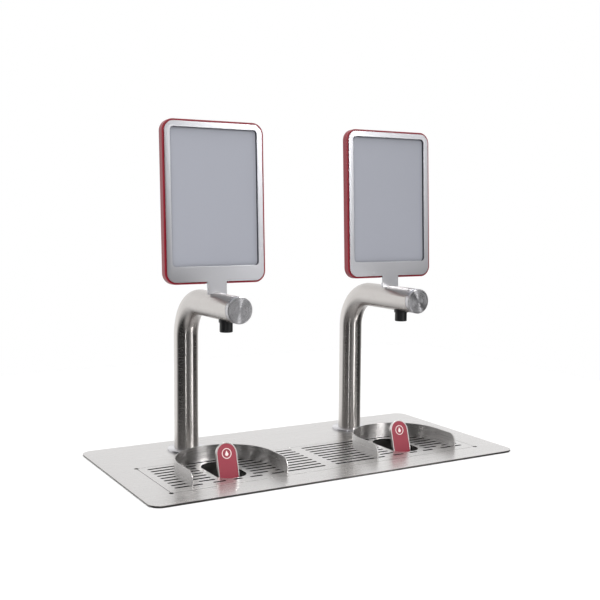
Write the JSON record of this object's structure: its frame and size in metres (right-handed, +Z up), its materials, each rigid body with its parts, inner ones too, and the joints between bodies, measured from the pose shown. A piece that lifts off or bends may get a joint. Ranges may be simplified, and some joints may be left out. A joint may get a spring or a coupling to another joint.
{
  "type": "countertop dispensing station",
  "caption": "Counter-top drinks dispensing station with two bent tube spouts, display panels on top, a flush drip grille, round cup guards and sprung cup levers.",
  "frame": {"origin": "plan centre of the deck, at the counter surface under the sealing ring", "axes": "+X to the user's right, +Y to the back (the columns), +Z up"},
  "size_m": [0.68, 0.345, 0.6533],
  "materials": {
    "black_plastic": "fine moulded grain",
    "black_rubber": "smooth moulded",
    "brass": "machined, dull",
    "bright_steel": "bright drawn steel",
    "brushed_stainless": "fine lengthwise brushing",
    "dark_red_plastic": "semi-gloss moulded shell",
    "grey_glass": "anti-glare front, semi-matt",
    "hose_polymer": "smooth, slightly translucent",
    "nickel_magnet": "nickel plated",
    "red_gloss_plastic": "gloss printed face",
    "satin_stainless": "satin, bead blasted",
    "turned_stainless": "turned, concentric tool marks"
  },
  "bodies": {
    "station": {"deck_gasket": "black_rubber", "deck_plate": "brushed_stainless", "drain_nut": "black_plastic", "drain_seal": "black_rubber", "drain_strainer": "satin_stainless", "drain_tail": "black_plastic", "drip_pan": "satin_stainless", "left_clamp_nut": "brass", "left_clamp_washer": "bright_steel", "left_column_collar": "turned_stainless", "left_column_shank": "brass", "left_column_tube": "brushed_stainless", "left_display_module": "grey_glass", "left_end_cap": "turned_stainless", "left_housing_screws": "bright_steel", "left_inlet_fitting": "brass", "left_lever_sensor": "black_plastic", "left_nozzle": "black_plastic", "left_panel_bezel": "black_plastic", "left_panel_frame": "satin_stainless", "left_panel_housing": "dark_red_plastic", "left_saddle_bracket": "satin_stainless", "left_saddle_screw": "bright_steel", "left_supply_hose": "hose_polymer", "right_clamp_nut": "brass", "right_clamp_washer": "bright_steel", "right_column_collar": "turned_stainless", "right_column_shank": "brass", "right_column_tube": "brushed_stainless", "right_display_module": "grey_glass", "right_end_cap": "turned_stainless", "right_housing_screws": "bright_steel", "right_inlet_fitting": "brass", "right_lever_sensor": "black_plastic", "right_nozzle": "black_plastic", "right_panel_bezel": "black_plastic", "right_panel_frame": "satin_stainless", "right_panel_housing": "dark_red_plastic", "right_saddle_bracket": "satin_stainless", "right_saddle_screw": "bright_steel", "right_supply_hose": "hose_polymer"},
    "grille": {"grille": "brushed_stainless", "left_guard": "satin_stainless", "left_hinge_lugs": "satin_stainless", "left_hinge_pin": "bright_steel", "left_springs": "bright_steel", "right_guard": "satin_stainless", "right_hinge_lugs": "satin_stainless", "right_hinge_pin": "bright_steel", "right_springs": "bright_steel"},
    "left_lever": {"left_lever": "satin_stainless", "left_lever_inlay": "red_gloss_plastic", "left_magnet": "nickel_magnet"},
    "right_lever": {"right_lever": "satin_stainless", "right_lever_inlay": "red_gloss_plastic", "right_magnet": "nickel_magnet"}
  },
  "joints": [
    {"name": "grille_lift", "type": "slide", "parent": "station", "child": "grille", "axis": [0, 0, 1], "range_m": [0, 0.08]},
    {"name": "left_lever_hinge", "type": "hinge", "parent": "grille", "child": "left_lever", "pos_m": [-0.17, -0.0693, -0.0125], "axis": [-1, 0, 0], "range_deg": [0, 62], "stiffness_Nm_per_rad": 0.06, "springref_deg": -34.38},
    {"name": "right_lever_hinge", "type": "hinge", "parent": "grille", "child": "right_lever", "pos_m": [0.17, -0.0693, -0.0125], "axis": [-1, 0, 0], "range_deg": [0, 62], "stiffness_Nm_per_rad": 0.06, "springref_deg": -34.38}
  ]
}
